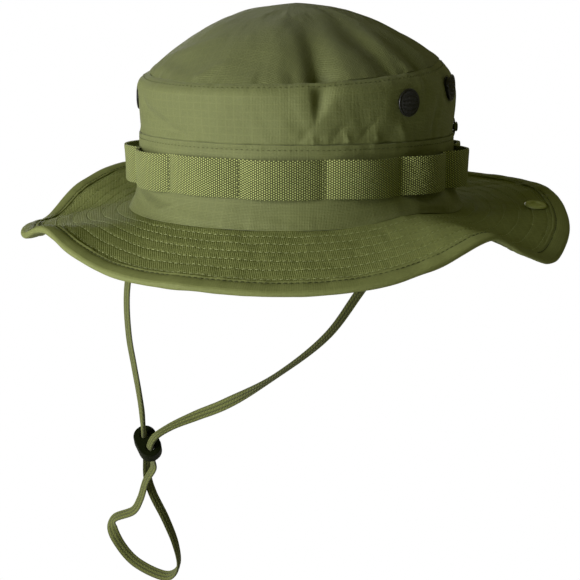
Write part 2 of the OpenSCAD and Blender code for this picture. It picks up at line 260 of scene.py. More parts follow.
def noise(h, v, cells, pitch, seed):
    """Smooth noise from -1 to 1, with that many cells round the hat and pitch mm along v."""
    rows = 64
    table = np.random.default_rng(seed).uniform(-1, 1, (cells, rows))
    x, y = np.broadcast_arrays(np.asarray(h, float) % 360 / 360 * cells, np.asarray(v, float) / pitch)
    i, j = np.floor(x).astype(int), np.floor(y).astype(int)
    f, g = (t * t * t * (t * (6 * t - 15) + 10) for t in (x - i, y - j))
    corner = lambda a, b: table[(i + a) % cells, (j + b) % rows]
    near, far = (corner(0, b) * (1 - f) + corner(1, b) * f for b in (0, 1))
    return near * (1 - g) + far * g


def unit(v):
    return v / np.maximum(np.linalg.norm(v, axis=-1, keepdims=True), 1e-12)


def normals_of(points, closed):
    """Unit normals of a grid of points: along the first index crossed with along the second."""
    if closed:
        du = np.roll(points, -1, 0) - np.roll(points, 1, 0)
    else:
        du = np.gradient(points, axis=0)
    return unit(np.cross(du, np.gradient(points, axis=1)))


def lengths_along(line):
    """Distance along a line of points, at each of them."""
    return np.concatenate([[0], np.cumsum(np.linalg.norm(np.diff(line, axis=0), axis=1))])


def cloth_uv(points, closed):
    """Coordinates in metres on the cloth: along the grid's middle row, and across the grid."""
    line = points[:, points.shape[1] // 2]
    if closed:
        line = np.concatenate([line, line[:1]])
    steps = np.linalg.norm(np.diff(points, axis=1), axis=2).mean(0)
    across = np.concatenate([[0], np.cumsum(steps)])
    return np.stack(np.meshgrid(lengths_along(line), across, indexing="ij"), -1) * MM


def grid_faces(rows, columns, closed_rows=False, closed_columns=False):
    """Four-sided faces over a grid of points, which can be closed either way."""
    i, j = np.indices((rows - (not closed_rows), columns - (not closed_columns)))
    k, n = (i + 1) % rows, (j + 1) % columns
    return np.stack([i * columns + j, k * columns + j, k * columns + n, i * columns + n], -1)


def tube_faces(rings, sides):
    """Faces of a tube through that many rings of points, with a cap at each end."""
    start = (rings - 1) * sides
    caps = [list(range(sides)), list(range(start + sides - 1, start - 1, -1))]
    return grid_faces(rings, sides, closed_columns=True).reshape(-1, 4).tolist() + caps


def mesh_object(name, points, faces):
    mesh = bpy.data.meshes.new(name)
    mesh.from_pydata((points * MM).tolist(), [], faces)
    mesh.shade_smooth()
    return linked(name, mesh)


def joined(name, shapes):
    """One object of several lots of points and faces."""
    points, faces, start = [], [], 0
    for p, f in shapes:
        points.append(p)
        faces += [[k + start for k in face] for face in f]
        start += len(p)
    return mesh_object(name, np.concatenate(points), faces)


@contextmanager
def editing(obj):
    """The object's mesh, open for changes that are written back at the end."""
    shape = bmesh.new()
    shape.from_mesh(obj.data)
    yield shape
    shape.to_mesh(obj.data)
    shape.free()


def grid_object(name, points, uv, closed=True, keep=None, normals=None):
    """Mesh over a grid of points. uv has one more row if the grid is closed, keep is a mask of
    the faces to keep, and normals set how the points are shaded."""
    faces = grid_faces(*points.shape[:2], closed)
    i, j = np.indices(faces.shape[:2])
    corners = np.stack([uv[i, j], uv[i + 1, j], uv[i + 1, j + 1], uv[i, j + 1]], 2)
    if keep is not None:
        faces, corners = faces[keep], corners[keep]
    obj = mesh_object(name, points.reshape(-1, 3), faces.reshape(-1, 4).tolist())
    layer = obj.data.uv_layers.new(name="cloth")
    layer.data.foreach_set("uv", corners.reshape(-1).astype(np.float32))
    if normals is not None:
        obj.data.normals_split_custom_set_from_vertices(normals.reshape(-1, 3).tolist())
    if keep is not None:
        with editing(obj) as shape:
            loose = [v for v in shape.verts if not v.link_faces]
            bmesh.ops.delete(shape, geom=loose, context="VERTS")
    return obj


def modify(obj, kind, **settings):
    """Puts a modifier with these settings on the object, and applies it."""
    modifier = obj.modifiers.new(kind.lower(), kind)
    for key, value in settings.items():
        setattr(modifier, key, value)
    bpy.context.view_layer.update()
    shape = obj.evaluated_get(bpy.context.evaluated_depsgraph_get())
    mesh = bpy.data.meshes.new_from_object(shape)
    obj.modifiers.clear()
    obj.data = mesh


def thicken(obj, thickness):
    """Gives a sheet its thickness, inwards from its outer face, with crisp edges."""
    modify(obj, "SOLIDIFY", thickness=thickness * MM, offset=-1, use_rim=True)
    obj.data.set_sharp_from_angle(angle=math.radians(50))


def finish_piece(obj, body, material, slot, *nodes):
    obj.data.materials.append(material)
    if body:
        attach(obj, body)
    if nodes:
        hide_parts(*nodes)
    return obj


# Stitches: pitch, length and width, how high the thread stands and how deep it is set
WALL_STITCH = (2.9, 1.7, 0.5, 0.3, 0.1)
BAND_STITCH = (2.9, 1.8, 0.45, 0.3, 0.12)
BAR_STITCH = (1.9, 1.2, 0.36, 0.25, 0.1)
ROW_STITCH = (3.3, 2.2, 0.38, 0.3, 0.05)
EDGE_STITCH = (3.0, 2.2, 0.5, 0.3, 0.05)


def stitch_row(line, normals, pitch, length, width, rise, sink):
    """Points and faces of stitches along a line: short rounded threads that dive at both ends."""
    along = lengths_along(line)
    count = max(1, int(along[-1] / pitch))
    centres = (np.arange(count) + 0.5) * along[-1] / count
    sample = lambda s, a: np.stack([np.interp(s, along, a[:, k]) for k in range(3)], -1)[:, None]
    middle, up = sample(centres, line), sample(centres, normals)
    ahead = unit(sample(centres + length / 2, line) - sample(centres - length / 2, line))
    up = unit(up - ahead * (up * ahead).sum(-1, keepdims=True))
    rings, sides = 5, 5
    t = np.linspace(-1, 1, rings)[:, None]
    angle = np.arange(sides) * -2 * math.pi / sides
    girth = width / 2 * np.sqrt(1 - (0.9 * t) ** 2)
    x = np.repeat(t * length / 2, sides)[:, None]
    y = (girth * np.cos(angle)).reshape(-1, 1)
    z = (rise * np.cos(t * math.pi / 2) ** 0.6 - sink + girth * np.sin(angle)).reshape(-1, 1)
    points = middle + ahead * x + np.cross(up, ahead) * y + up * z
    one = tube_faces(rings, sides)
    faces = [[v + k * rings * sides for v in face] for k in range(count) for face in one]
    return points.reshape(-1, 3), faces


# ---- Materials ----


def node(tree, kind, **values):
    """New node whose named inputs, or attributes, take these values."""
    n = tree.nodes.new(kind)
    for key, value in values.items():
        if key in n.inputs:
            n.inputs[key].default_value = value
        else:
            setattr(n, key, value)
    return n


def shader_of(name, roughness, **constants):
    """New material with its node tree and its shader, whose sockets take these constants."""
    material = bpy.data.materials.new(name)
    material.use_nodes = True
    shader = material.node_tree.nodes["Principled BSDF"]
    shader.inputs["Roughness"].default_value = roughness
    for key, value in constants.items():
        shader.inputs[key.replace("_", " ")].default_value = value
    return material, material.node_tree, shader


class Value:
    """What a node puts out over a surface. Arithmetic on it makes more nodes."""

    def __init__(self, tree, socket):
        self.tree, self.socket = tree, socket

    def maths(self, operation, *others):
        n = node(self.tree, "ShaderNodeMath", operation=operation)
        feed(self.tree, n.inputs, (self, *others))
        return Value(self.tree, n.outputs[0])

    __add__ = partialmethod(maths, "ADD")
    __mul__ = partialmethod(maths, "MULTIPLY")
    __truediv__ = partialmethod(maths, "DIVIDE")
    __pow__ = partialmethod(maths, "POWER")


def feed(tree, sockets, values):
    """Sets each socket to a number or colour, or links it to a node's output."""
    for socket, value in zip(sockets, values):
        if isinstance(value, Value):
            tree.links.new(value.socket, socket)
        else:
            socket.default_value = value


def mix_colour(factor, a, b):
    n = node(factor.tree, "ShaderNodeMix", data_type="RGBA")
    feed(factor.tree, (n.inputs[0], n.inputs[6], n.inputs[7]), (factor, a, b))
    return Value(factor.tree, n.outputs[2])


def noise_at(place, scale, detail=2.0):
    n = node(place.tree, "ShaderNodeTexNoise", Scale=scale, Detail=detail)
    feed(place.tree, [n.inputs["Vector"]], [place])
    return Value(place.tree, n.outputs[0])


def tint(colour, k):
    return tuple(c * k for c in colour)


def scaled(colour, k):
    return tint(colour, k) + (1,)


def mottled(place, scale, detail, colour, spread):
    """The colour, in soft blotches up to spread darker and lighter."""
    return mix_colour(noise_at(place, scale, detail), scaled(colour, 1 - spread), scaled(colour, 1 + spread))


def ripple(x, wave):
    """Ridges along x, one to each whole number: the size of the SINE or COSINE of pi times x."""
    return (x * math.pi).maths(wave).maths("ABSOLUTE")


def wave_line(coordinate, pitch, sharpness=1.0):
    """A thin line every pitch metres along a coordinate, from 0 between lines to 1 on them."""
    return ripple(coordinate / pitch, "COSINE") ** sharpness


def cloth_shader(name, roughness, sheen, gloss):
    """New cloth material, its shader, and where a point is on the cloth: both coordinates
    together, and each by itself."""
    material, tree, shader = shader_of(
        name, roughness, Sheen_Weight=sheen, Sheen_Roughness=0.5, Specular_IOR_Level=gloss
    )
    uv = Value(tree, node(tree, "ShaderNodeUVMap", uv_map="cloth").outputs[0])
    split = node(tree, "ShaderNodeSeparateXYZ")
    feed(tree, split.inputs, [uv])
    return material, shader, uv, Value(tree, split.outputs[0]), Value(tree, split.outputs[1])


def dress(shader, tone, height, depth):
    """Gives the shader its colour, and its relief with a depth in metres."""
    relief = node(tone.tree, "ShaderNodeBump", Strength=1.0, Distance=depth)
    feed(tone.tree, (relief.inputs["Height"], shader.inputs["Base Color"]), (height, tone))
    tone.tree.links.new(relief.outputs[0], shader.inputs["Normal"])


def fabric(name, colour, yarn, ripstop=0.0, fade=0.14, sheen=0.15, gloss=0.45, slubs=0.45, relief=0.00012):
    """Plain woven cloth: yarn is the width of a yarn in metres, and ripstop how strongly the
    heavier yarns show that cross every 5 mm."""
    material, shader, uv, u, v = cloth_shader(name, 0.66, sheen, gloss)
    slub = noise_at(uv, 0.35 / yarn)
    tone = mix_colour(slub * slubs, mottled(uv, 38.0, 3.0, colour, fade), scaled(colour, 0.55))
    height = wave_line(u, 2 * yarn) * wave_line(v, 2 * yarn) * 0.6 + slub * 0.8
    if ripstop:
        heavy = wave_line(u, 0.005, 40.0).maths("MAXIMUM", wave_line(v, 0.005, 40.0)) * ripstop
        tone = mix_colour(heavy, tone, scaled(colour, 1.3))
        height = height + heavy
    dress(shader, tone, height, relief)
    return material


def webbing_material(name, colour):
    """Coarse plain-woven strap: rounded yarns in columns, each column half a yarn out of step."""
    material, shader, uv, u, v = cloth_shader(name, 0.72, 0.1, 0.3)
    place = u / 0.00125
    row = v / 0.0013 + place.maths("FLOOR").maths("MODULO", 2.0) * 0.5
    yarns = ripple(place, "SINE") ** 0.5 * ripple(row, "SINE") ** 0.7
    # painted shade in the gaps between the yarns, darkened to 0.06 of the colour, and a painted highlight on
    # the yarns' crests at 1.8 times it
    tone = mix_colour(yarns**1.4, scaled(colour, 0.06), mottled(uv, 60.0, 2.0, colour, 0.15))
    tone = mix_colour(yarns**6.0, tone, scaled(colour, 1.8))
    dress(shader, tone, yarns, 0.0005)
    return material


def braid_material(name, colour):
    """Flat braid: three ribs side by side, each plaited in a herringbone of yarns. Along the
    braid u is in metres, and v goes from 0 to 1 round it."""
    material, shader, _, u, v = cloth_shader(name, 0.7, 0.2, 0.35)
    rib = ripple((v * (2 * math.pi)).maths("COSINE") * 1.5, "COSINE")
    yarn = ripple(u / 0.0021 + rib * 0.9, "SINE")
    # painted shade in the grooves between the ribs, down to 0.12 of the colour, and a painted highlight on
    # the yarns' crests
    tone = mix_colour(rib**0.8, scaled(colour, 0.12), scaled(colour, 1.2))
    tone = mix_colour(yarn * 0.4, tone, scaled(colour, 1.6))
    dress(shader, tone, yarn * 0.5 + rib**0.5, 0.0004)
    return material


def plain_shader(name, colour, roughness, grain, depth, metallic=0.0, gloss=0.5):
    """Enamel, plastic, metal or thread: one colour with faint mottling and a fine grain."""
    material, tree, shader = shader_of(name, roughness, Metallic=metallic, Specular_IOR_Level=gloss)
    place = Value(tree, node(tree, "ShaderNodeTexCoord").outputs["Object"])
    dress(shader, mottled(place, grain * 0.2, 3.0, colour, 0.2), noise_at(place, grain), depth)
    return material


OLIVE = (0.190, 0.212, 0.074)
CLOTH = fabric("crown_ripstop", tint(OLIVE, 1.14), 0.0004, ripstop=0.2, slubs=0.6, relief=0.0002)
# The top panel's cloth: the same ripstop made darker, as painted shade for the top that faces up
DOME_CLOTH_PAINTED_SHADE = fabric("crown_top_ripstop_painted_shade", tint(OLIVE, 0.92), 0.0004, ripstop=0.2, slubs=0.6, relief=0.0002)
# The brim's cloth: the same ripstop made lighter, as painted light for its upper face that gets little light
BRIM_CLOTH_PAINTED_LIGHT = fabric("brim_ripstop", tint(OLIVE, 1.62), 0.0005, ripstop=0.2, sheen=0.0, gloss=0.12, slubs=1.0,
                    relief=0.0003)
# The binding tape: made lighter as painted light, for the tape's edge that catches the key light
TAPE_PAINTED_LIGHT = fabric("binding_tape_painted_light", tint(OLIVE, 1.4), 0.0006, fade=0.12, sheen=0.0, gloss=0.25, slubs=0.6)
LINING = fabric("sweatband_twill", tint(OLIVE, 0.8), 0.0005)
FELT = fabric("stiffener_felt", tint(OLIVE, 0.5), 0.0008)
WEBBING = webbing_material("strap_webbing", tint(OLIVE, 2.15))
BRAID = braid_material("cord_braid", (0.122, 0.138, 0.034))
DARK_THREAD = plain_shader("dark_thread", (0.055, 0.065, 0.018), 0.7, 4000.0, 0.00005)
CROWN_THREAD = plain_shader("crown_thread", (0.115, 0.13, 0.042), 0.7, 4000.0, 0.00005)
PALE_THREAD = plain_shader("pale_thread", (0.40, 0.44, 0.20), 0.7, 4000.0, 0.00005)
TAB_TAPE = plain_shader("tab_tape", tint(OLIVE, 0.7), 0.85, 2500.0, 0.0001)
GUNMETAL = plain_shader("gunmetal", (0.06, 0.06, 0.066), 0.33, 900.0, 0.00003, metallic=0.75)
GAUZE = plain_shader("gauze_wire", (0.07, 0.07, 0.078), 0.42, 900.0, 0.00002, metallic=0.5)
ENAMEL = plain_shader("olive_enamel", (0.42, 0.47, 0.18), 0.32, 700.0, 0.00003)
STUD_PAINT = plain_shader("stud_enamel", (0.085, 0.1, 0.03), 0.4, 700.0, 0.00003)
PLASTIC = plain_shader("toggle_plastic", (0.006, 0.009, 0.001), 0.5, 1500.0, 0.00005, gloss=0.12)


# ---- Crown ----

CLOTH_THICK = 0.9
DOME_V = 95.0          # distance down the crown at which the top seam runs
SEAM_EASE = 5.0        # distance over which the cloth is drawn to the top seam
TURNS = 900
ROUND = np.arange(TURNS)[:, None] * 360.0 / TURNS - 180

# Folds of the crown. Each is a line of points (azimuth, distance down the crown, height, width on
# the side of smaller azimuths, width on the other side), in degrees and millimetres
FOLDS = [
    # the deep pinch at the left front, which ends in a point on the wall, and the cloth beside it
    [(32.4, 36, 0.0, 8, 9), (32.8, 60, -2.0, 6, 9), (33.6, 82, -4.8, 5.4, 9), (34.0, 95, -5.8, 5.2, 8),
     (33.2, 104, -4.2, 3.2, 4.4), (32.2, 114, -0.5, 1.5, 2)],
    [(42, 60, 0.0, 8, 12), (43, 80, 0.5, 8, 12), (44, 96, 0.3, 8, 11), (45, 108, 0.1, 7, 9)],
    [(17, 48, 0.0, 10, 6), (18, 76, 0.9, 10, 6), (19, 93, 0.4, 7, 5)],
    # the broad valleys and ridges towards the left side
    [(60, 26, 0.0, 12, 9), (59.5, 50, -1.8, 12, 8), (60.5, 72, -2.8, 10, 6), (62.5, 90, -2.2, 7, 4),
     (64, 100, -1.2, 5, 3)],
    [(68, 58, 0.0, 5, 7), (69, 74, 0.9, 5, 7), (72, 90, 1.1, 4, 6), (74, 102, 0.4, 4, 4)],
    [(78, 62, -0.3, 5, 6), (80, 84, -1.7, 4, 6), (78, 98, -1.4, 3, 4), (75, 112, -0.3, 3, 4)],
    [(90, 60, 0.0, 5, 6), (90, 88, 1.6, 5, 6), (92, 104, 0.4, 4, 5)],
    # soft creases towards the right front
    [(-54, 93, 1.2, 5, 7), (-47, 86, 1.8, 5, 7), (-31, 77, 1.5, 5, 8), (-14, 62, 0.0, 5, 9)],
    [(-52, 100, 0.6, 3, 3), (-38, 90, 1.3, 4, 4), (-20, 91, 0.2, 4, 4)],
    [(-44, 104, -0.2, 4, 4), (-39, 112, -1.6, 4, 4), (-25, 119, -1.9, 4, 4), (-10, 126, -0.3, 3, 3)],
    [(-12, 92, 0.7, 3, 3), (-6, 86, 0.8, 3, 3), (4, 84, 0.0, 3, 3)],
    [(-6, 99, -0.4, 2, 2), (-5.4, 106, -0.2, 2, 2), (-5, 113, 0.0, 2, 2)],
    # small tucks that stand over the lower seam
    [(30.8, 121.5, 0.1, 1.2, 1.8), (31.4, 126.5, 0.9, 1.4, 2.0)],
    [(26.5, 126, -0.3, 2, 2), (29, 121, -0.5, 2.4, 2), (32, 117, -0.1, 2.6, 2.4)],
    [(42, 121, 0.1, 1.2, 1.8), (43, 126.5, 0.9, 1.4, 2.0)],
    [(37.5, 126, -0.3, 2, 2), (40, 121, -0.5, 2.2, 2), (44, 116, -0.1, 2.6, 2.4)],
    [(53, 121, 0.1, 1.2, 1.8), (54, 127, 0.7, 1.4, 2.0)],
    [(48, 126, -0.3, 2, 2), (51, 121, -0.5, 2, 2), (55, 114, -0.2, 2.6, 2.4)],
    [(66, 112, 0.2, 3, 3), (64, 122, 1.0, 2.4, 2.4), (66, 130, 0.9, 2, 2)],
    [(86, 108, -0.3, 3, 4), (84, 120, -1.4, 3, 4), (82, 131, -0.8, 3, 3)],
    # the back and the right side
    [(122, 34, 0.0, 8, 8), (127, 66, -2.4, 8, 6), (129, 95, -3.0, 6, 4), (130, 110, -0.5, 3, 3)],
    [(168, 40, 0.0, 8, 8), (160, 74, -2.2, 8, 5), (157, 100, -1.6, 6, 4), (156, 116, -0.2, 3, 3)],
    [(-96, 40, 0.0, 9, 9), (-99, 70, -2.4, 8, 6), (-101, 96, -1.8, 6, 4)],
    [(-140, 44, 0.0, 9, 9), (-144, 76, -2.6, 8, 6), (-147, 98, -2.2, 5, 4), (-148, 112, -0.3, 3, 3)],
    [(-120, 96, 0.3, 4, 4), (-124, 110, 1.4, 4, 4), (-118, 124, 0.8, 3, 3)],
    [(-75, 112, -0.2, 3, 3), (-70, 121, -1.4, 3, 3), (-62, 128, -0.4, 3, 3)],
]

# Creases of the lower band, likewise, but with the height above the frame's origin in v
BAND_FOLDS = [
    [(-47, 15, 0.6, 2, 2), (-33, 9, 1.3, 2.2, 2.2), (-18, 5, 0.2, 2, 2)],
    [(-41, 16, -0.5, 2, 2), (-26, 12, -0.9, 2, 2), (-8, 9, -0.1, 2, 2)],
    [(-55, 12, 0.2, 1.6, 1.6), (-44, 7, 0.9, 1.6, 1.6), (-32, 3, 0.1, 1.6, 1.6)],
    [(-30, 4, 0.1, 1.4, 1.4), (-22, 8, 0.6, 1.4, 1.4), (-12, 14, 0.1, 1.4, 1.4)],
    [(62, 16, 0.2, 2, 2), (72, 10, 1.2, 2, 2), (84, 6, 0.3, 2, 2)],
    [(130, 15, 0.3, 2, 2), (142, 9, 1.1, 2, 2), (156, 5, 0.1, 2, 2)],
    [(-150, 15, 0.3, 2, 2), (-136, 9, 1.1, 2, 2), (-124, 5, 0.1, 2, 2)],
]


def fold_height(h, v, around, folds):
    """Height of all the folds at azimuth h and distance v down the cloth, whose radius there
    is around."""
    per_degree = math.pi / 180 * around
    total = 0.0
    for line in folds:
        nearest = np.full(np.broadcast(h, v).shape, 1e9)
        height = np.zeros(nearest.shape)
        for start, end in zip(line, line[1:]):
            x = ((h - start[0] + 180) % 360 - 180) * per_degree
            dx, dv = (end[0] - start[0]) * per_degree, end[1] - start[1]
            t = np.clip((x * dx + (v - start[1]) * dv) / (dx * dx + dv * dv), 0, 1)
            off_x, off_v = x - t * dx, v - start[1] - t * dv
            peak, low_side, high_side = (start[k] + (end[k] - start[k]) * t for k in (2, 3, 4))
            away = np.hypot(off_x, off_v)
            width = np.where(off_x * abs(dv) - off_v * dx * np.sign(dv) < 0, low_side, high_side)
            height = np.where(away < nearest, peak * bell(away, width), height)
            nearest = np.minimum(nearest, away)
        total = total + height
    return total


def crown_waves(h, v, around):
    """All that makes the crown's cloth uneven: folds, soft waves and small creases."""
    broad = 0.9 * noise(h, v, 13, 30, 3) + 0.4 * noise(h + 0.2 * v, v, 31, 17, 4)
    fine = 0.17 * noise(h - 0.3 * v, v, 80, 9, 5) * (1 + noise(h, v, 10, 30, 6))
    return fold_height(h, v, around, FOLDS) + broad + fine


def pucker(h, distance, reach, cells, seed):
    """Gathers beside a seam, which fade with distance from it in millimetres."""
    gathers = noise(h, 0 * distance, cells, 10, seed) * 0.6
    pinches = -1.6 * np.maximum(0, noise(h, 0 * distance, cells // 2, 10, seed + 50) - 0.25)
    return (gathers + pinches) * np.exp(-distance / reach)


def seam_radius(h):
    return SEAM_R - 4.5 * slump(h) - 1.2 * hump(h, -64, 30)


def dome_surface(h, f):
    """The top panel at azimuth h and fraction f of its radius."""
    low = top_z(h) + 0.15
    z = CROWN_H - (CROWN_H - low) * (0.2 * f + 0.8 * f**2.5)
    radius = seam_radius(h) * f
    edge = (1 - f) * DOME_V
    wave = crown_waves(h, DOME_V * f, np.maximum(radius, 20)) * smooth((f - 0.08) / 0.3)
    wave = wave * (1 - 0.35 * bell(edge, 2.5)) + 0.12 * bell(edge - 3.0, 2.2)
    return at(h, radius, z), wave + 0.55 * pucker(h, edge, 6, 110, 8)


def wall_surface(h, g):
    """The upper wall at azimuth h, from g = 0 at the top seam to 1 at the lap."""
    top, lap = top_z(h), band_top(h) - 1.0
    z = top - (top - lap) * g
    down, above_lap = top - z, z - lap
    shoulder = 8.0 + 14.0 * slump(h)       # height over which the shoulder turns
    lead = 0.11 * shoulder                 # how much of the turn is left out at the seam
    arc = lambda x: np.sqrt(np.clip(1 - (1 - np.minimum((x + lead) / (shoulder + lead), 1)) ** 2, 0, 1))
    turn = (arc(down) - arc(0 * down)) / (1 - arc(0 * down))
    belly = np.sin(np.pi * np.clip(above_lap / 34, 0, 1) / 2)
    foot = BAND_R - 1.2
    inner = seam_radius(h) + 0.3
    radius = inner + (foot - inner + (CROWN_R - foot) * belly) * turn
    wave = crown_waves(h, DOME_V + down, CROWN_R) * (1 - 0.35 * bell(down, 2.5) - 0.7 * bell(above_lap, 2.5))
    wave = wave + 0.5 * pucker(h, down, 6, 120, 9) + 0.6 * pucker(h, above_lap, 6, 110, 10)
    wave = wave + 0.5 * bell(above_lap - 2.2, 1.6) - 0.12 * bell(down - 1.9, 0.8)
    return at(h, radius, z), wave


def band_surface(h, q):
    """The lower band at azimuth h, from q = 0 at its top edge to 1 at the brim."""
    foot, top = band_z(h), band_top(h)
    z = top - (top - foot) * q
    down = top - z
    bend = WEB_Z + rise(h) + 0.5
    flare = np.clip((bend - z) / (bend - foot), 0, 1)
    radius = BAND_R + 0.4 + (BASE_R - BAND_R - 0.6) * flare**1.15
    wave = 0.4 * noise(h, z, 26, 16, 21) + 0.15 * noise(h, z, 80, 7, 22)
    wave = wave + 0.9 * noise(h + 1.6 * z, z * 0.4, 30, 12, 23) * flare
    wave = wave + fold_height(h, z, BASE_R, BAND_FOLDS)
    wave = wave * smooth(down / 5) * (1 - 0.85 * smooth((flare - 0.75) / 0.25))
    wave = wave + 8.8 * hump(h, 86, 11) * flare * (1 - flare)      # the bulge at the left
    wave = wave + 0.5 * pucker(h, np.abs(z - foot), 5, 120, 24) * smooth((z - foot) / 1.5)
    wave = wave + 0.35 * pucker(h, down, 4, 130, 25) - 0.3 * bell(down - 2.6, 0.7)
    return at(h, radius, z), wave


def waved(surface, parameter, side):
    """A surface's points at those parameters, moved by its waves towards that side of it."""
    base, wave = surface(ROUND, parameter)
    return base + side * normals_of(base, True) * wave[..., None]


def beside(parameter):
    """A parameter between two close ones, from which the normals there are worked out."""
    return np.array([parameter - 0.01, parameter, parameter + 0.01])[None]


DOME_EDGE = waved(dome_surface, beside(1.0), 1)[:, 1:2]
WALL_EDGE = waved(wall_surface, beside(0.0), -1)[:, 1:2]
TOP_SEAM = (DOME_EDGE + WALL_EDGE) / 2


def flatten_near_metal(points, wave):
    """Presses the cloth flat where a vent or a stud is set into it."""
    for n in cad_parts:
        if n.startswith(("vent_eyelet", "crown_stud")) and "cap" not in n:
            free = smooth((np.linalg.norm(points - box_centre(n), axis=-1) - 7) / 9)
            wave = wave * free - 0.35 * (1 - free)
    return wave


def vent_holes(points, radius):
    """Mask of the faces that aren't within radius of a vent's centre."""
    pairs = points + np.roll(points, -1, 0)
    centre = (pairs[:, :-1] + pairs[:, 1:]) / 4
    keep = np.ones(centre.shape[:2], bool)
    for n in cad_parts:
        if n.startswith("vent_screen"):
            keep &= np.linalg.norm(centre - box_centre(n), axis=-1) > radius
    return keep


def dome_points(f):
    """The top panel at fractions f of its radius, with its edge drawn to the top seam."""
    pull = bell((1 - f) * DOME_V, SEAM_EASE)
    return waved(dome_surface, f, 1) + (TOP_SEAM - DOME_EDGE) * pull[..., None]


def wall_points(g, flat=False):
    """The upper wall from g = 0 at the top seam, drawn to that seam. flat presses it flat where
    metal is set into it."""
    base, wave = wall_surface(ROUND, g)
    if flat:
        wave = flatten_near_metal(base, wave)
    pull = bell(g * (top_z(ROUND) - band_top(ROUND)), SEAM_EASE)
    return base - normals_of(base, True) * wave[..., None] + (TOP_SEAM - WALL_EDGE) * pull[..., None]


def round_sheet(name, points, thickness, material, slot, *nodes, flip=True, holes=None):
    """A sheet that goes round the hat, thickened inwards from these points. flip is for points
    that run downwards, and holes is the radius of the holes cut for the vents."""
    uv = cloth_uv(points, True)
    if flip:
        points, uv = points[:, ::-1], uv[:, ::-1]
    obj = grid_object(name, points, uv, keep=vent_holes(points, holes) if holes else None)
    thicken(obj, thickness)
    return finish_piece(obj, "root", material, slot, *nodes)


def crown_top():
    points = dome_points(np.linspace(1.0, 0.0, 110)[None] ** 0.85)[:, :-1]
    uv = np.concatenate([points, points[:1]])[..., :2] * MM
    obj = grid_object("crown_top_panel", points, uv)
    close_tip(obj, points.shape[1])
    thicken(obj, CLOTH_THICK)
    return finish_piece(obj, "root", DOME_CLOTH_PAINTED_SHADE, "crown_cloth", "crown_top")


def close_tip(obj, rows):
    """Closes the small hole that the innermost ring leaves, with a fan of triangles."""
    with editing(obj) as shape:
        ring = list(shape.verts)[rows - 1 :: rows]
        centre = shape.verts.new(sum((v.co for v in ring), Vector()) / len(ring))
        layer = shape.loops.layers.uv["cloth"]
        for a, b in zip(ring, ring[1:] + ring[:1]):
            face = shape.faces.new((a, b, centre))
            face.smooth = True
            for loop in face.loops:
                loop[layer].uv = loop.vert.co.xy


def crown_side():
    g = np.concatenate([np.linspace(0, 0.2, 24)[:-1], np.linspace(0.2, 1, 66)])[None]
    points = wall_points(g, flat=True)
    behind_band = points[:, -1:] + at(ROUND, np.array([[0.5, 0.85]]), np.array([[-1.5, -3.4]]))
    points = np.concatenate([points, behind_band], 1)
    return round_sheet("crown_side_wall", points, CLOTH_THICK, CLOTH, "crown_cloth", "crown_side", holes=6.6)


def band_points_at(q):
    """The lower band at those parameters."""
    return waved(band_surface, q, -1)


def crown_band():
    q = np.concatenate([np.linspace(0, 0.12, 16)[:-1], np.linspace(0.12, 1, 70)])[None]
    points = band_points_at(q)
    tuck = points[:, -1:] + at(ROUND, -0.9, -0.5)
    points = np.concatenate([points, tuck], 1)
    return round_sheet("crown_lower_band", points, CLOTH_THICK, CLOTH, "crown_cloth", "crown_band")


def stitch_line(points_at, parameter):
    """Line of points round the crown at one parameter, with the cloth's outward normals."""
    points = points_at(beside(parameter))
    line, normals = points[:, 1], -normals_of(points, True)[:, 1]
    return np.concatenate([line, line[:1]]), np.concatenate([normals, normals[:1]])


def crown_stitches():
    rows = [
        stitch_row(*stitch_line(wall_points, 0.05), *WALL_STITCH),
        stitch_row(*stitch_line(band_points_at, 0.06), *BAND_STITCH),
    ]
    finish_piece(joined("crown_stitches", rows), "root", CROWN_THREAD, "thread")


def seam_tape():
    v = np.linspace(0, 1, 12)[None]
    z = top_z(ROUND) - 1.4 - 9.0 * v
    radius = seam_radius(ROUND) - 2.4 - 0.3 * v + 0.25 * noise(ROUND, v * 6, 120, 6, 31)
    points = at(ROUND, radius, z)
    return round_sheet("top_seam_tape_inside", points, CLOTH_THICK, TAPE_PAINTED_LIGHT, "crown_cloth", "top_seam_tape")


def sweatband():
    low, high = (c.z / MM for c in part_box("sweatband"))
    v = np.linspace(0, 1, 40)[None]
    z = low + 0.3 + (high - low - 0.6) * v
    roll = 0.5 * bell(1 - v, 0.05) + 0.4 * bell(v, 0.05)
    radius = 89.6 + 0.3 * (1 - v) + 0.3 * noise(ROUND, z, 40, 14, 32) - roll
    points = at(ROUND, radius, z)
    return round_sheet("inner_sweatband", points, 1.2, LINING, "sweatband_cloth", "sweatband", flip=False)


# ---- Webbing ----

LOOPS = 13
FIRST_STITCH = 7.0
PITCH = 360 / LOOPS
LOOP_GAP = 7.0
WEB_THICK = 1.4
# How far each loop stands off, beginning with the one to the left of the front
FULLNESS = [0.4, 0.62, 0.95, 1.05, 0.95, 1.1, 0.9, 1.05, 0.95, 1.1, 0.95, 0.6, 0.3]


def loop_bulge(h):
    """How far the webbing stands off at azimuth h, from 0 at a stitch to about 1 mid-loop."""
    turn = (np.asarray(h, float) - FIRST_STITCH) / PITCH
    number = np.floor(turn).astype(int)
    fullness = np.array(FULLNESS)[number % LOOPS]
    lean = np.random.default_rng(42).uniform(-0.09, 0.09, LOOPS)[number % LOOPS]
    span = np.clip((turn - number - 0.03) / 0.94, 0, 1)
    return fullness * np.sin(np.pi * (span + lean * np.sin(np.pi * span) ** 2)) ** 0.85


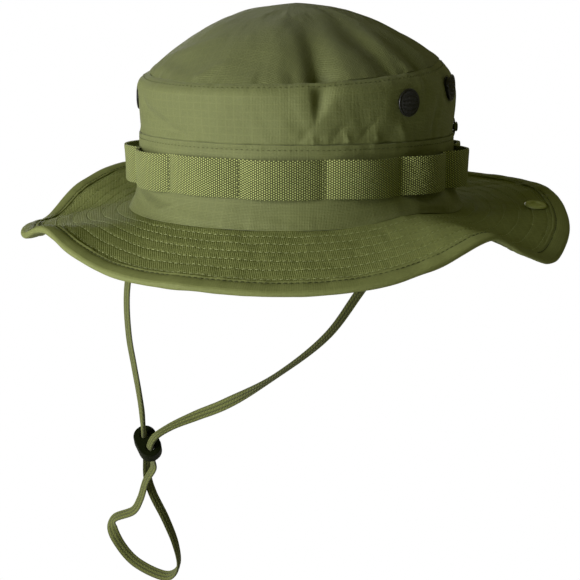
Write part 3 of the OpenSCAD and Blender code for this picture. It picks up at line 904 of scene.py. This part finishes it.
def webbing_surface(h, w):
    """The webbing's outer face at azimuth h, from w = 0 at its lower edge to 1 at its upper."""
    bulge = loop_bulge(h)
    z = WEB_Z + rise(h) + WEB_W * w + 0.5 * noise(h, 0 * w, 26, 9, 43)
    selvedge = 0.3 * (bell(w, 0.04) + bell(1 - w, 0.04))
    radius = BAND_R + 0.5 + WEB_THICK + bulge * (LOOP_GAP + 1.0 * w) - selvedge
    return at(h, radius + 0.5 * noise(h, w * 22, 50, 14, 44) * bulge, z)


def webbing():
    turns = 1800
    h = np.arange(turns)[:, None] * 360.0 / turns - 180
    points = webbing_surface(h, np.linspace(0, 1, 45)[None])
    nodes = [f"webbing_{side}" for side in ("front", "left", "back", "right")]
    return round_sheet("webbing_strap", points, WEB_THICK, WEBBING, "webbing", *nodes, flip=False)


def webbing_stitches():
    """Two close columns of stitches at each place where the webbing is sewn down."""
    shapes = []
    w = np.linspace(0.04, 0.96, 60)
    for k in range(LOOPS):
        for side in (-0.3, 0.3):
            h = np.full(w.shape, FIRST_STITCH + PITCH * k + side)
            shapes.append(stitch_row(webbing_surface(h, w), unit(at(h, 1.0, 0.0)), *BAR_STITCH))
    finish_piece(joined("webbing_bar_stitches", shapes), "root", CROWN_THREAD, "thread", "webbing_bartacks")


# ---- Brim ----

BIND_W = 10.0
BRIM_FACE = 0.95       # from the brim's middle surface to either face of its cloth
ROW_RADII = [105.5 + 8.6 * k for k in range(6)]
EDGE_ROW, EDGE_ROW_FACE = 2.0, 1.35    # the tape's row of stitches: how far in, and its height

# The tape's upper face: distance from its inner edge, and how far it rises or dips
BIND_FACE = [
    (-0.1, -0.35), (0.1, -0.05), (0.5, 0.12), (1.1, 0.08), (1.6, -0.25), (2.0, -0.5), (2.4, -0.28),
    (3.0, 0.05), (4.0, 0.2), (5.2, 0.28), (6.4, 0.25), (7.4, 0.12), (8.2, 0.0),
]


def half_round(side, turns=500):
    """Azimuths of one half of the brim, with one more beyond each end for the normals."""
    h = np.arange(-1, turns + 2)[:, None] * 180.0 / turns
    return h if side > 0 else -h[::-1]


def quilting(h, r):
    """How the rows of stitches draw the brim's cloth in, and puff it between them."""
    dip = np.zeros(np.broadcast(h, r).shape)
    for k, row in enumerate(ROW_RADII):
        gap = r - row
        teeth = 0.75 + 0.25 * noise(h, 0 * r, 300, 10, 60 + k)
        dip = dip - 0.5 * teeth * bell(gap, 0.9) + 0.14 * noise(h, r, 220, 6, 70 + k) * bell(gap, 3.0)
    creases = 0.3 * noise(h, r, 60, 12, 80) + 0.18 * noise(h, r, 130, 8, 81)
    return dip + creases + 0.08 * noise(h, r, 300, 4, 82)


def brim_surface(h, r, offset):
    """The brim's cloth at that offset from its middle surface, with the rows sewn into it."""
    wave = quilting(h, r) if offset else 0.0
    return at(h, r, brim_mid(h, r) + offset + wave * np.sign(offset))


def binding_section():
    """Binding tape as (radius, offset) pairs, from its upper inner edge round to its lower one."""
    face, thick = 1.75, 0.6
    lip = (0.15, -1.5 * thick)
    upper = [(BRIM_R - BIND_W + x, face + lift) for x, lift in [lip, *BIND_FACE]]
    angles = np.radians(np.linspace(80, -80, 11))
    edge = [(BRIM_R - face + face * math.cos(a), face * math.sin(a)) for a in angles]
    return upper + edge + [(r, -z) for r, z in upper[::-1]]


def binding_surface(h):
    r, offset = (np.array(values)[None] for values in zip(*binding_section()))
    inner = np.clip((BRIM_R - r) / BIND_W, 0, 1)
    ripples = 0.3 * noise(h, 0 * r, 240, 9, 90) * inner + 0.25 * noise(h, r, 90, 12, 91)
    radius = r + 0.25 * noise(h, 0 * r, 150, 9, 92) * (inner > 0.9)
    return at(h, radius, brim_mid(h, radius) + offset + ripples * np.clip(offset, -1, 1))


def straight_grain(points):
    """Coordinates in metres on cloth whose weave runs straight across the brim, at a slant."""
    a = math.radians(33)
    x, y = points[..., 0] * MM, points[..., 1] * MM
    return np.stack([x * math.cos(a) + y * math.sin(a), y * math.cos(a) - x * math.sin(a)], -1)


def bend(obj, side):
    """Bakes a brim piece's placement into its mesh; side is not used."""
    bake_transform(obj)


def blended_half(name, side, points, flip, material, slot, *nodes):
    """One half of a brim piece. points carry one more column beyond
    each end, which only gives the normals."""
    n = normals_of(points, False) * (-1 if flip else 1)
    points, n = points[1:-1], n[1:-1]
    uv = cloth_uv(points, False) if material is TAPE_PAINTED_LIGHT else straight_grain(points)
    if flip:
        points, n, uv = points[:, ::-1], n[:, ::-1], uv[:, ::-1]
    obj = grid_object(name, points, uv, closed=False, normals=n)
    finish_piece(obj, None, material, slot, *nodes)
    bend(obj, side)
    return obj


def brim():
    cloth_r = np.linspace(BRIM_IN, BRIM_R - 1.4, 108)[None]
    felt_r = np.linspace(BRIM_IN, BRIM_R - 1.6, 40)[None]
    cloth = []
    for side, word in ((1, "left"), (-1, "right")):
        h = half_round(side)
        upper, lower = (brim_surface(h, cloth_r, offset) for offset in (BRIM_FACE, -BRIM_FACE))
        for name, part, points, flip, material, slot in (
            ("brim_top", "top_cloth", upper, True, BRIM_CLOTH_PAINTED_LIGHT, "brim_cloth"),
            ("brim_underside", "under_cloth", lower, False, BRIM_CLOTH_PAINTED_LIGHT, "brim_cloth"),
            ("brim_interlining", "stiffener", brim_surface(h, felt_r, 0.0), True, FELT, "stiffener"),
            ("brim_edge_binding", "binding", binding_surface(h), False, TAPE_PAINTED_LIGHT, "binding"),
        ):
            nodes = [f"brim_{part}"] * (side > 0) + [f"{word}_flap_{part}"]
            cloth.append(blended_half(f"{name}_{word}", side, points, flip, material, slot, *nodes))
        brim_stitches(side, word)
    return cloth


def brim_stitches(side, word):
    h = half_round(side, 700)[1:-1, 0]
    rows, edge_rows = [], []
    for face in (1, -1):
        for r in ROW_RADII:
            line = brim_surface(h, r, face * BRIM_FACE)
            rows.append(stitch_row(line, brim_normals(h, r) * face, *ROW_STITCH))
        r = BRIM_R - BIND_W + EDGE_ROW
        line = at(h, r, brim_mid(h, r) + face * EDGE_ROW_FACE)
        edge_rows.append(stitch_row(line, brim_normals(h, r) * face, *EDGE_STITCH))
    for name, shapes, thread in (("brim_row", rows, PALE_THREAD), ("binding", edge_rows, DARK_THREAD)):
        obj = joined(f"{name}_stitches_{word}", shapes)
        finish_piece(obj, None, thread, "thread")
        bend(obj, side)


def brim_normals(h, r):
    """Upward normals of the brim at azimuths h and radius r."""
    middle = lambda a, b: brim_surface(a, b, 0.0)
    around = middle(h + 0.5, r) - middle(h - 0.5, r)
    out = middle(h, r + 0.5) - middle(h, r - 0.5)
    return unit(np.cross(out, around))


# ---- Vents, snaps, tabs and toggle ----

# Profiles of the round fittings, as (radius, height) pairs from the foot up
AXIS = 0.01            # the radius that counts as the axis
EYELET = [
    (5.6, 0.0), (6.0, 0.0), (6.0, 3.1), (7.5, 3.1), (7.7, 3.4), (7.65, 3.8), (7.4, 4.05), (7.0, 4.1),
    (6.75, 3.9), (6.4, 3.75), (5.6, 3.5),
]
STUD = [
    (AXIS, 0.0), (1.5, 0.0), (1.5, 3.6), (5.5, 3.6), (5.5, 4.0), (4.6, 4.3), (2.6, 4.4), (2.5, 4.8),
    (2.9, 5.2), (2.7, 5.8), (1.9, 6.1), (AXIS, 6.15),
]
STUD_CAP = [(AXIS, 0.0), (3.5, 0.25), (6.0, 0.9), (6.0, 1.5), (1.8, 1.5), (1.8, 0.9), (AXIS, 0.9)]
SOCKET = [
    (AXIS, 0.0), (1.5, 0.0), (1.5, 2.8), (6.5, 2.8), (6.6, 3.3), (6.0, 4.2), (4.8, 4.5), (3.4, 4.5),
    (3.3, 3.7), (AXIS, 3.6),
]
SOCKET_CAP = [(AXIS, 0.0), (3.5, 0.1), (6.4, 0.8), (6.5, 1.3), (1.6, 1.3), (1.6, 1.2), (AXIS, 1.2)]
WASHER = [(6.1, 0.0), (7.2, 0.0), (7.2, 0.6), (6.1, 0.6)]
GAUZE_R = 6.6
# The gauze's dark back, a closed disc under the wires: painted shade for the hat's inside seen through them
GAUZE_SHADE_BACK = [
    (AXIS, 4.36), (2.5, 4.28), (4.6, 4.08), (GAUZE_R, 3.76), (GAUZE_R, 3.56), (4.6, 3.9), (2.5, 4.1),
    (AXIS, 4.2), (AXIS, 4.36),
]


def placed_frame(node_name, tilted=False):
    """Centre of a CAD node, and three axes. The third points out of the cloth: level, or if
    tilted along the node's own axis."""
    points = node_points(node_name)
    centre = (points.min(0) + points.max(0)) / 2
    level = np.array(direction(azimuth(centre), 0))
    out, up = level, np.array([0, 0, 1.0])
    if tilted:
        centre = points.mean(0)
        axis = np.linalg.eigh(np.cov((points - centre).T))[1][:, 0]
        out, up = axis * np.sign(axis[2]), level
    side = unit(np.cross(up, out))
    return centre, side, np.cross(out, side), out


def standing_frame(node_name, tilted=False):
    """The same, from the node's lowest point along its third axis."""
    centre, x, y, z = placed_frame(node_name, tilted)
    return centre + z * ((node_points(node_name) - centre) @ z).min(), x, y, z


def turned(place, profile, sides=72):
    """Points and faces of a profile of (radius, height) pairs turned round an axis."""
    centre, x, y, z = place
    a = np.arange(sides)[:, None, None] * 2 * math.pi / sides
    r, t = (np.array(values)[:, None] for values in zip(*profile))
    points = centre + (np.cos(a) * x + np.sin(a) * y) * r + z * t
    return points.reshape(-1, 3), grid_faces(sides, len(profile), True).reshape(-1, 4).tolist()


def rounded(profile, steps=4, reach=0.22):
    """The profile with each corner cut round, by corner points moved along its two sides."""
    p = np.array(profile, float)
    out = [p[0]]
    for a, b, c in zip(p, p[1:], p[2:]):
        before, after = np.linalg.norm(a - b), np.linalg.norm(c - b)
        k = min(reach, 0.45 * before, 0.45 * after)
        start, end = b + (a - b) / before * k, b + (c - b) / after * k
        for t in np.linspace(0, 1, steps):
            out.append((1 - t) ** 2 * start + 2 * t * (1 - t) * b + t * t * end)
    return out + [p[-1]]


def turned_piece(name, node_name, profile, material, slot, body="root"):
    """A round fitting turned from a profile, in place of its CAD node. The profile's heights are
    counted from the node's foot, and it closes on itself unless it begins at the axis."""
    end = profile[:1] if profile[0][0] > AXIS else []
    obj = joined(name, [turned(standing_frame(node_name, body != "root"), rounded(profile + end))])
    with editing(obj) as shape:
        bmesh.ops.remove_doubles(shape, verts=shape.verts, dist=1e-6)
        bmesh.ops.dissolve_degenerate(shape, edges=shape.edges, dist=1e-7)
        bmesh.ops.recalc_face_normals(shape, faces=shape.faces)
        for face in shape.faces:
            face.smooth = True
    finish_piece(obj, body, material, slot, node_name)


def rod(a, b, up, width):
    """Points and faces of a six-sided rod from a to b."""
    angle = np.arange(6)[:, None] * -math.pi / 3
    ring = width / 2 * (np.cos(angle) * np.cross(up, unit(b - a)) + np.sin(angle) * up)
    return np.concatenate([a + ring, b + ring]), tube_faces(2, 6)


def screen_disc(name, node_name, eyelet_name):
    """Domed wire gauze: thin crossed wires on a dark back, held in the flange. The dark back is painted
    shade, a closed disc that stands in for the hat's shaded inside seen through the wires.
    """
    base, x, y, z = place = standing_frame(eyelet_name)
    pitch, wire = 0.8, 0.34
    lift = lambda a, b: 3.85 + 0.6 * (1 - (a * a + b * b) / GAUZE_R**2)
    shapes = []
    for across, along, over in ((x, y, 0.05), (y, x, -0.05)):
        for k in np.arange(-GAUZE_R + pitch / 2, GAUZE_R, pitch):
            half = math.sqrt(GAUZE_R**2 - k * k)
            cuts = [half * c for c in (-1, -0.6, -0.2, 0.2, 0.6, 1)]
            line = [base + across * k + along * c + z * (lift(k, c) + over) for c in cuts]
            shapes += [rod(a, b, z, wire) for a, b in zip(line, line[1:])]
    # the dark back is painted shade behind the wires
    shapes.append(turned(place, GAUZE_SHADE_BACK))
    finish_piece(joined(name, shapes), "root", GAUZE, "vent_mesh", node_name)


def vents_and_snaps():
    for side in ("left", "right"):
        for tag in (f"{side}_front", f"{side}_rear"):
            turned_piece(f"vent_flange_{tag}", f"vent_eyelet_{tag}", EYELET, GUNMETAL, "vent_metal")
            turned_piece(f"vent_back_ring_{tag}", f"vent_washer_{tag}", WASHER, GUNMETAL, "vent_metal")
            screen_disc(f"vent_gauze_{tag}", f"vent_screen_{tag}", f"vent_eyelet_{tag}")
        turned_piece(f"snap_stud_{side}", f"crown_stud_{side}", STUD, STUD_PAINT, "stud_metal")
        turned_piece(f"snap_stud_back_{side}", f"crown_stud_cap_{side}", STUD_CAP, GUNMETAL, "stud_metal")
        for word, cad_word, profile in (("", "", SOCKET), ("_back", "_cap", SOCKET_CAP)):
            turned_piece(f"snap_socket{word}_{side}", f"brim_socket{cad_word}_{side}", profile, ENAMEL,
                         "snap_enamel", f"{side}_flap")


def anchor_tabs():
    """Sewn tabs that hold the cord's ends: folded pieces of tape, thinner at their middle."""
    half = 5.8
    turn = np.linspace(0, 2 * math.pi, 33)[:-1, None]
    width = np.linspace(-half, half, 24)[:, None, None]
    thick = 1.05 * np.cos(turn) * (1 - 0.25 * np.sin(turn)) * (1 - 0.12 * np.cos(width / half * math.pi))
    for side in ("left", "right"):
        name = f"cord_anchor_{side}"
        centre, along, up, out = placed_frame(name)
        tall = np.ptp(node_points(name)[:, 2]) / 2 * np.abs(np.sin(turn)) ** 0.5 * np.sign(np.sin(turn))
        points = centre + along * width + out * thick + up * tall
        obj = joined(f"cord_tab_{side}", [(points.reshape(-1, 3), tube_faces(*points.shape[:2]))])
        finish_piece(obj, "root", TAB_TAPE, "webbing", name)


def toggle():
    """The CAD toggle with its edges moulded round."""
    obj = linked("two_hole_toggle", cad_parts["cord_toggle"].data.copy())
    obj.data.materials.clear()
    modify(obj, "REMESH", mode="VOXEL", voxel_size=0.0003, use_smooth_shade=True)
    modify(obj, "SMOOTH", factor=0.5, iterations=14)
    return finish_piece(obj, "toggle", PLASTIC, "toggle_plastic", "cord_toggle")


# ---- Chin cord ----

# The cord's route in metres, from the anchor on the wearer's right to the one on the left
ROUTE = [
    (-0.081, -0.047, -0.010), (-0.082, -0.047, -0.020), (-0.086, -0.047, -0.034),
    (-0.089, -0.047, -0.054), (-0.088, -0.047, -0.078), (-0.084, -0.048, -0.096),
    (-0.078, -0.053, -0.109), (-0.073, -0.058, -0.119), (-0.072, -0.0585, -0.127),
    (-0.073, -0.056, -0.133), (-0.076, -0.050, -0.139), (-0.080, -0.042, -0.147),
    (-0.082, -0.0385, -0.155), (-0.082, -0.038, -0.167), (-0.078, -0.039, -0.176),
    (-0.068, -0.041, -0.190), (-0.060, -0.043, -0.204), (-0.058, -0.043, -0.216),
    (-0.061, -0.043, -0.222), (-0.067, -0.043, -0.225), (-0.088, -0.043, -0.220),
    (-0.100, -0.042, -0.211), (-0.106, -0.041, -0.202), (-0.105, -0.041, -0.196),
    (-0.089, -0.043, -0.187), (-0.084, -0.0435, -0.179), (-0.080, -0.043, -0.167),
    (-0.0755, -0.042, -0.159), (-0.074, -0.045, -0.153), (-0.070, -0.053, -0.145),
    (-0.067, -0.059, -0.139), (-0.063, -0.060, -0.133), (-0.055, -0.056, -0.127),
    (-0.041, -0.050, -0.120), (-0.024, -0.047, -0.112), (0.011, -0.047, -0.090),
    (0.042, -0.047, -0.064), (0.061, -0.047, -0.038), (0.075, -0.047, -0.018),
    (0.081, -0.047, -0.010),
]
# The angle in degrees by which the flat braid's broad face is turned from the camera, at each
# point of the route
TWIST = [
    50, 50, 52, 56, 57, 58, 56, 62, 74, 96, 112, 122, 128, 130, 130, 126, 116, 96, 68, 42,
    36, 32, -8, -52, -50, -52, -54, -54, -52, -48, -40, -32, -20, -8, 8, 64, 48, 40, 44, 46,
]
# The braid's width and thickness in millimetres, and by the route's point where they differ
FLAT, BUNCHED = (6.6, 2.0), (4.4, 3.0)
SECTIONS = {
    0: (4.0, 2.6), 6: (5.2, 2.4), 7: BUNCHED, 8: BUNCHED, 9: BUNCHED, 10: BUNCHED, 11: (5.4, 2.2),
    28: (5.4, 2.2), 29: BUNCHED, 30: BUNCHED, 31: BUNCHED, 32: (4.6, 2.8), 33: (6.0, 2.2), 39: (4.0, 2.6),
}
PER_SPAN = 12          # steps between two points of the route


def spline(points):
    """Centripetal spline through the points."""
    p = np.array(points, float)
    p = np.concatenate([[2 * p[0] - p[1]], p, [2 * p[-1] - p[-2]]])
    t = (np.arange(PER_SPAN) / PER_SPAN)[:, None]
    s = smooth(t)
    out = []
    for a, b, c, d in zip(p, p[1:], p[2:], p[3:]):
        d0, d1, d2 = (max(1e-4, math.sqrt(np.linalg.norm(v))) for v in (b - a, c - b, d - c))
        m1 = ((b - a) / d0 - (c - a) / (d0 + d1) + (c - b) / d1) * d1
        m2 = ((c - b) / d1 - (d - b) / (d1 + d2) + (d - c) / d2) * d1
        out.append(b * (1 - s) + c * s + m1 * t * (1 - t) ** 2 - m2 * t * t * (1 - t))
    return np.concatenate(out + [p[-2:-1]])


def cord_section(sides=36):
    """Outline of the flat braid, three ribs side by side, for a width and thickness of 1."""
    a = np.arange(sides)[:, None] * 2 * math.pi / sides
    x = np.cos(a) / 2
    rib = 0.55 + 0.45 * np.abs(np.cos(3 * math.pi * x)) ** 0.6
    return x, np.sign(np.sin(a)) * np.abs(np.sin(a)) ** 0.55 / 2 * rib


def chin_cord():
    """The braid, with its middle line and its length in metres."""
    line = spline(ROUTE) / MM
    turn, width, thickness = spline([(a, *SECTIONS.get(k, FLAT)) for k, a in enumerate(TWIST)]).T
    c, s = np.cos(np.radians(turn))[:, None], np.sin(np.radians(turn))[:, None]
    ahead = unit(np.gradient(line, axis=0))
    towards = np.array(direction(CAMERA_AZIMUTH, CAMERA_ELEVATION))
    face = unit(towards - ahead * (ahead @ towards)[:, None])
    wide = np.cross(ahead, face)
    face, wide = face * c + wide * s, wide * c - face * s
    x, y = cord_section()
    points = line + wide * (x * width)[..., None] + face * (y * thickness)[..., None]
    along = lengths_along(line) * MM
    round_it = np.arange(len(x) + 1)[:, None] / len(x)
    obj = grid_object("braided_chin_cord", points, np.stack(np.broadcast_arrays(along, round_it), -1))
    with editing(obj) as shape:
        bmesh.ops.holes_fill(shape, edges=[e for e in shape.edges if e.is_boundary], sides=0)
        for cap in shape.faces:
            cap.smooth = True
    finish_piece(obj, "chin_strap", BRAID, "cord_braid", "chin_cord")
    return obj, line * MM, float(along[-1])


# ---- The whole hat ----

bpy.context.scene.view_settings.view_transform = "Standard"
make_camera()
make_world()
make_floor()
area_light("key", azimuth=-27, elevation=9, distance=1.9, size=1.2, power=36.5)
area_light("rim", azimuth=150, elevation=35, distance=2.4, size=1.2, power=2)
area_light("back", azimuth=214, elevation=3, distance=2.4, size=0.8, power=9)

cord, cord_line, cord_length = chin_cord()
slider = toggle()
cloth = [crown_top(), crown_side(), crown_band(), seam_tape(), sweatband(), webbing(), *brim()]
crown_stitches()
webbing_stitches()
vents_and_snaps()
anchor_tabs()
